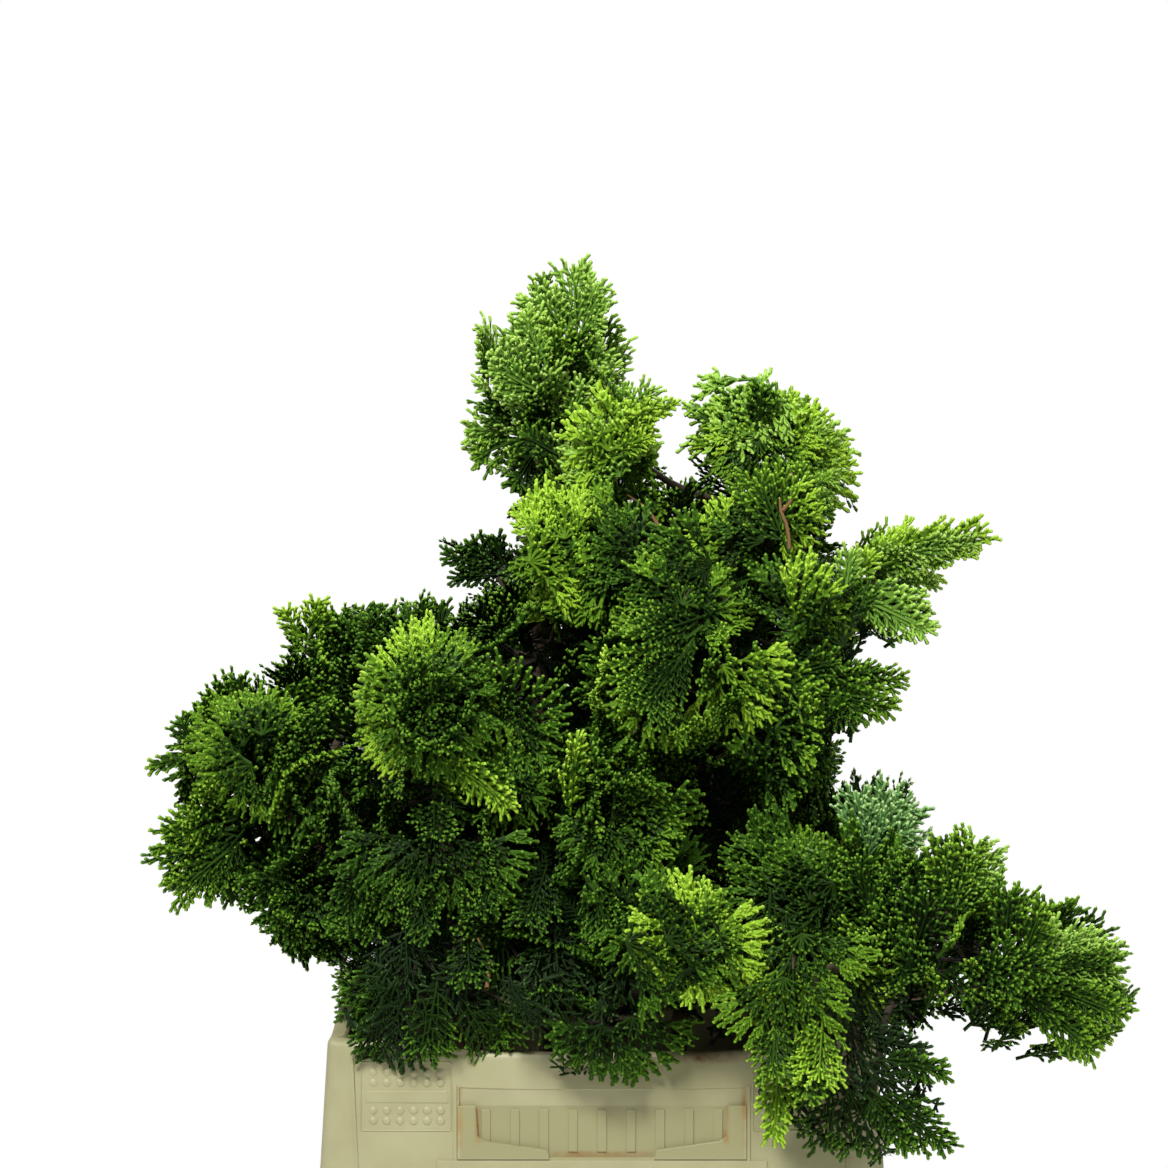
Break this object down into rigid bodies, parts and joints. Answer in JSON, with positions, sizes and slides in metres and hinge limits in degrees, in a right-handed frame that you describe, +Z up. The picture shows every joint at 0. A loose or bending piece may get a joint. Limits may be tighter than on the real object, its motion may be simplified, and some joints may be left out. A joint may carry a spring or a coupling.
{
  "type": "potted dwarf hinoki cypress",
  "caption": "Bushy dwarf conifer: leafy stems carrying dense cupped fans of scale leaves, standing in a deep rectangular plastic grower's container.",
  "frame": {"origin": "centre of the container's flat underside", "axes": "+Z up; X along the container's short side, Y along its long side; -Y is the front, where the foliage hangs over the rim"},
  "size_m": [0.5336, 0.5107, 0.756],
  "materials": {
    "container_plastic": "cream moulded plastic, slightly waxy",
    "bark": "rough reddish-brown bark",
    "foliage_bright": "bright yellow-green scale leaves",
    "foliage_mid": "mid green scale leaves",
    "foliage_dark": "dark bluish-green scale leaves"
  },
  "bodies": {
    "root": {"container": "container_plastic", "stem_leader": "bark", "stem_crown": "bark", "stem_left": "bark", "stem_front": "bark", "stem_front_left": "bark", "stem_right": "bark", "stem_back": "bark", "stem_back_left": "bark", "bough_right_spray": "bark", "bough_left_outer": "bark", "bough_right_limb": "bark", "leader_top": "foliage_mid", "leader_left": "foliage_mid", "leader_right": "foliage_mid", "leader_low": "foliage_mid", "crest_left": "foliage_bright", "crown_left": "foliage_bright", "crest_mid": "foliage_bright", "crown_mid": "foliage_bright", "crown_right_top": "foliage_mid", "crown_right_tip": "foliage_mid", "crown_right": "foliage_bright", "crown_right_low": "foliage_bright", "spray_right": "foliage_mid", "spray_right_low": "foliage_mid", "shelf_mid": "foliage_mid", "side_right": "foliage_bright", "dark_left": "foliage_dark", "left_top": "foliage_bright", "left_outer": "foliage_bright", "left_outer_low": "foliage_bright", "left_low": "foliage_bright", "left_mid": "foliage_bright", "left_cup": "foliage_bright", "centre_left": "foliage_bright", "centre": "foliage_bright", "low_left": "foliage_bright", "low_centre": "foliage_bright", "low_mid": "foliage_bright", "skirt_left": "foliage_dark", "skirt_mid": "foliage_dark", "front_cup": "foliage_bright", "hanging": "foliage_dark", "right_mid": "foliage_mid", "right_pale": "foliage_mid", "right_low": "foliage_bright", "limb_top": "foliage_mid", "limb_mid": "foliage_mid", "limb_end": "foliage_mid", "skirt_right": "foliage_dark", "left_skirt": "foliage_dark", "right_skirt": "foliage_dark", "back_top": "foliage_bright", "back_left_high": "foliage_bright", "back_left": "foliage_bright", "back_mid": "foliage_bright", "back_right": "foliage_mid", "back_low": "foliage_bright", "back_low_right": "foliage_bright"}
  },
  "joints": []
}
